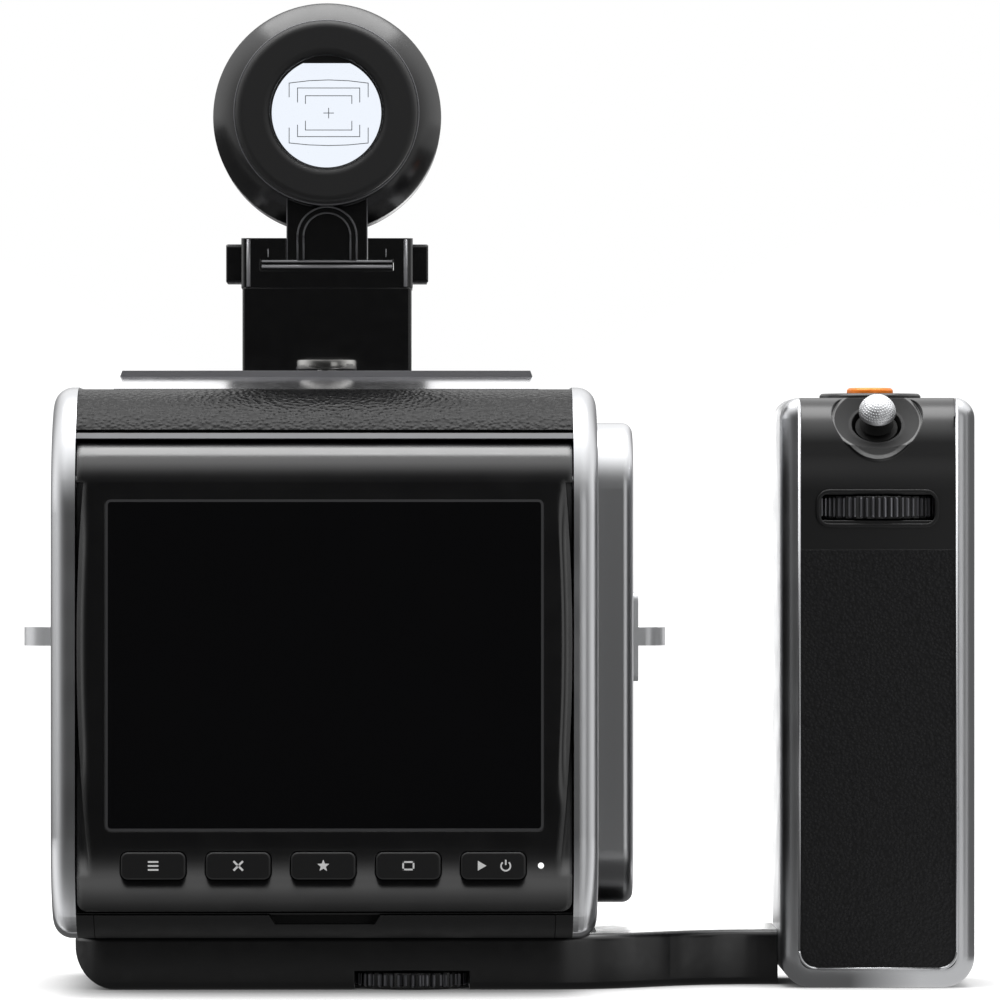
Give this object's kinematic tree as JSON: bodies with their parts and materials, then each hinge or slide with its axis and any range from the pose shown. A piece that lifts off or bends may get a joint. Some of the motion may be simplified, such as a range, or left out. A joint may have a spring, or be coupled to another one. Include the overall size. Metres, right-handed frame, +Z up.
{
  "type": "medium format digital camera",
  "caption": "Medium format camera with a tilting display back, open lens mount, optical finder and a side grip on a base arm.",
  "frame": {"origin": "mouth of the tripod socket in the underside of the base plate", "axes": "+Y forwards along the lens axis, +X right as seen from behind, +Z up"},
  "size_m": [0.1631, 0.0892, 0.1691],
  "materials": {
    "silver_metal": "satin anodised",
    "chrome": "polished",
    "mount_steel": "fine turned",
    "inner_metal": "bead blasted",
    "black_metal": "semi-gloss",
    "gloss_black": "glossy",
    "matte_black": "moulded",
    "leatherette": "grained",
    "rubber": "matte",
    "display_glass": "polished",
    "lens_glass": "coated",
    "panel": "dark",
    "circuit": "solder mask",
    "orange": "anodised orange"
  },
  "bodies": {
    "camera": {"back_frame_left": "silver_metal", "back_frame_right": "silver_metal", "front_shell": "silver_metal", "grip_frame": "silver_metal", "chrome_strip": "chrome", "top_saddle": "chrome", "lens_mount_ring": "mount_steel", "finder_shoe": "mount_steel", "strap_lugs": "mount_steel", "tripod_bush": "mount_steel", "inner_plate": "inner_metal", "back_chassis": "black_metal", "saddle_plate": "black_metal", "finder_pedestal": "black_metal", "finder_clamp": "black_metal", "finder_stem": "black_metal", "finder_barrel": "black_metal", "base_arm": "black_metal", "sensor_carrier": "black_metal", "grip_head": "gloss_black", "battery": "matte_black", "port_block": "matte_black", "contact_block": "matte_black", "grip_core": "matte_black", "side_leathers": "leatherette", "top_leather": "leatherette", "front_leather": "leatherette", "grip_leathers": "leatherette", "eyecup": "rubber", "base_pad": "rubber", "finder_lenses": "lens_glass", "filter_glass": "lens_glass", "image_sensor": "panel", "main_board": "circuit"},
    "display": {"display_housing": "gloss_black", "display_glass": "display_glass", "display_panel": "panel", "display_cover": "matte_black", "hinge_pins": "mount_steel"},
    "menu_key": {"menu_button": "matte_black"},
    "cross_key": {"cross_button": "matte_black"},
    "star_key": {"star_button": "matte_black"},
    "square_key": {"square_button": "matte_black"},
    "play_key": {"play_button": "matte_black"},
    "catch": {"back_catch": "chrome"},
    "port_lid": {"port_door": "rubber"},
    "lens_unlock": {"lens_unlock_button": "mount_steel"},
    "lens_lock": {"lens_lock_pin": "mount_steel"},
    "body_release": {"body_release_button": "mount_steel"},
    "front_dial": {"body_dial": "black_metal"},
    "thumbwheel": {"clamp_thumbwheel": "black_metal"},
    "finder_key_left": {"clamp_key_left": "black_metal"},
    "finder_key_right": {"clamp_key_right": "black_metal"},
    "grip_release": {"grip_release_button": "orange"},
    "grip_key_left": {"front_key_left": "matte_black"},
    "grip_key_right": {"front_key_right": "matte_black"},
    "grip_rear_wheel": {"rear_wheel": "matte_black"},
    "grip_front_wheel": {"front_wheel": "matte_black"},
    "stick_gimbal": {"joystick_gimbal": "matte_black"},
    "stick": {"joystick": "chrome"}
  },
  "joints": [
    {"name": "display_tilt", "type": "hinge", "parent": "camera", "child": "display", "pos_m": [0, -0.0472, 0.0858], "axis": [-1, 0, 0], "range_deg": [0, 90]},
    {"name": "catch_slide", "type": "slide", "parent": "camera", "child": "catch", "axis": [1, 0, 0], "range_m": [0, 0.003], "stiffness_N_per_m": 250},
    {"name": "port_lid_swing", "type": "hinge", "parent": "camera", "child": "port_lid", "pos_m": [-0.0444, -0.0235, 0.0556], "axis": [0, 0, 1], "range_deg": [0, 90]},
    {"name": "lens_unlock_press", "type": "slide", "parent": "camera", "child": "lens_unlock", "axis": [0, -1, 0], "range_m": [0, 0.0013], "stiffness_N_per_m": 500},
    {"name": "lens_lock_travel", "type": "slide", "parent": "camera", "child": "lens_lock", "axis": [0, -1, 0], "range_m": [0, 0.0013]},
    {"name": "body_release_press", "type": "slide", "parent": "camera", "child": "body_release", "axis": [0, -1, 0], "range_m": [0, 0.0012], "stiffness_N_per_m": 400},
    {"name": "front_dial_turn", "type": "hinge", "parent": "camera", "child": "front_dial", "pos_m": [0.0434, 0.0295, 0.0242], "axis": [0, 1, 0], "continuous": true},
    {"name": "thumbwheel_turn", "type": "hinge", "parent": "camera", "child": "thumbwheel", "pos_m": [0.0146, -0.018, 0.0003], "axis": [0, 0, 1], "continuous": true},
    {"name": "finder_key_left_press", "type": "slide", "parent": "camera", "child": "finder_key_left", "axis": [1, 0, 0], "range_m": [0, 0.0012], "stiffness_N_per_m": 600},
    {"name": "finder_key_right_press", "type": "slide", "parent": "camera", "child": "finder_key_right", "axis": [-1, 0, 0], "range_m": [0, 0.0012], "stiffness_N_per_m": 600},
    {"name": "grip_release_press", "type": "slide", "parent": "camera", "child": "grip_release", "axis": [0, 0, -1], "range_m": [0, 0.0008], "stiffness_N_per_m": 500},
    {"name": "grip_key_left_press", "type": "slide", "parent": "camera", "child": "grip_key_left", "axis": [0, -1, 0], "range_m": [0, 0.0008], "stiffness_N_per_m": 400},
    {"name": "grip_key_right_press", "type": "slide", "parent": "camera", "child": "grip_key_right", "axis": [0, -1, 0], "range_m": [0, 0.0008], "stiffness_N_per_m": 400},
    {"name": "rear_wheel_turn", "type": "hinge", "parent": "camera", "child": "grip_rear_wheel", "pos_m": [0.09375, -0.0121, 0.0816], "axis": [0, 0, 1], "continuous": true},
    {"name": "front_wheel_turn", "type": "hinge", "parent": "camera", "child": "grip_front_wheel", "pos_m": [0.09375, 0.0101, 0.0874], "axis": [0, 0, 1], "continuous": true},
    {"name": "stick_tilt_side", "type": "hinge", "parent": "camera", "child": "stick_gimbal", "pos_m": [0.09375, -0.01619, 0.09469], "axis": [0, 0.7071, 0.7071], "range_deg": [-8, 8], "stiffness_Nm_per_rad": 0.02},
    {"name": "stick_tilt_up", "type": "hinge", "parent": "stick_gimbal", "child": "stick", "pos_m": [0.09375, -0.01619, 0.09469], "axis": [1, 0, 0], "range_deg": [-8, 8], "stiffness_Nm_per_rad": 0.02},
    {"name": "menu_key_press", "type": "slide", "parent": "display", "child": "menu_key", "axis": [0, 1, 0], "range_m": [0, 0.0006], "stiffness_N_per_m": 500},
    {"name": "cross_key_press", "type": "slide", "parent": "display", "child": "cross_key", "axis": [0, 1, 0], "range_m": [0, 0.0006], "stiffness_N_per_m": 500},
    {"name": "star_key_press", "type": "slide", "parent": "display", "child": "star_key", "axis": [0, 1, 0], "range_m": [0, 0.0006], "stiffness_N_per_m": 500},
    {"name": "square_key_press", "type": "slide", "parent": "display", "child": "square_key", "axis": [0, 1, 0], "range_m": [0, 0.0006], "stiffness_N_per_m": 500},
    {"name": "play_key_press", "type": "slide", "parent": "display", "child": "play_key", "axis": [0, 1, 0], "range_m": [0, 0.0006], "stiffness_N_per_m": 500}
  ],
  "couplings": [
    {"joint": "lens_lock_travel", "follows": "lens_unlock_press", "ratio": 1}
  ]
}
